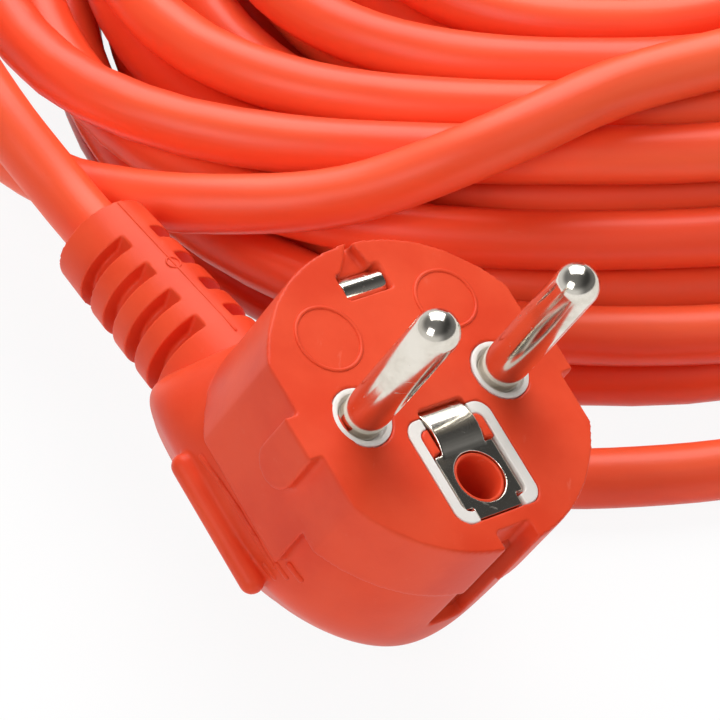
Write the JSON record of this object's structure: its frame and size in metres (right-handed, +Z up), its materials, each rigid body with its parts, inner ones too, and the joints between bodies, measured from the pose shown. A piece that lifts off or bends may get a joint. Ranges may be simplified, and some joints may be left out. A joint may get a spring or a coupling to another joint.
{
  "type": "extension cord",
  "caption": "Coiled three-core extension cord with an angled, moulded earthed plug and a round trailing socket with a shutter.",
  "frame": {"origin": "on the floor, below the middle of the box round the plug and the trailing socket", "axes": "+X out of the trailing socket's mouth, +Y from the plug across the coil to the socket, +Z up"},
  "size_m": [0.1743, 0.201, 0.072],
  "materials": {
    "orange_shell": "semi-gloss moulded PVC",
    "orange_sheath": "soft satin PVC sheath",
    "white_insert": "matt white moulding",
    "nickel": "bright nickel plate",
    "brass": "plain stamped brass",
    "spring_steel": "drawn wire",
    "core_brown": "satin core insulation",
    "core_blue": "satin core insulation",
    "core_green": "satin core insulation"
  },
  "bodies": {
    "cord_set": {"plug_body": "orange_shell", "pin_carrier": "white_insert", "live_pin": "nickel", "neutral_pin": "nickel", "earth_plate": "nickel", "earth_clip_upper": "nickel", "earth_clip_lower": "nickel", "plug_sheath": "orange_sheath", "plug_crimp_live": "brass", "plug_crimp_neutral": "brass", "plug_crimp_earth": "brass", "plug_core_live": "core_brown", "plug_core_neutral": "core_blue", "plug_core_earth": "core_green", "coupler_body": "orange_shell", "socket_face": "white_insert", "contact_carrier": "white_insert", "live_contact": "brass", "neutral_contact": "brass", "earth_bow": "nickel", "shutter_spring": "spring_steel", "socket_sheath": "orange_sheath", "socket_crimp_live": "brass", "socket_crimp_neutral": "brass", "socket_crimp_earth": "brass", "socket_core_live": "core_brown", "socket_core_neutral": "core_blue", "socket_core_earth": "core_green", "cord_coil": "orange_sheath", "cord_lead": "orange_sheath", "cord_tail": "orange_sheath"},
    "shutter": {"shutter": "white_insert"}
  },
  "joints": [
    {"name": "shutter_slide", "type": "slide", "parent": "cord_set", "child": "shutter", "axis": [0, 0, 1], "range_m": [0, 0.0055], "stiffness_N_per_m": 300, "springref_m": -0.002, "deforming": ["shutter_spring"]}
  ]
}
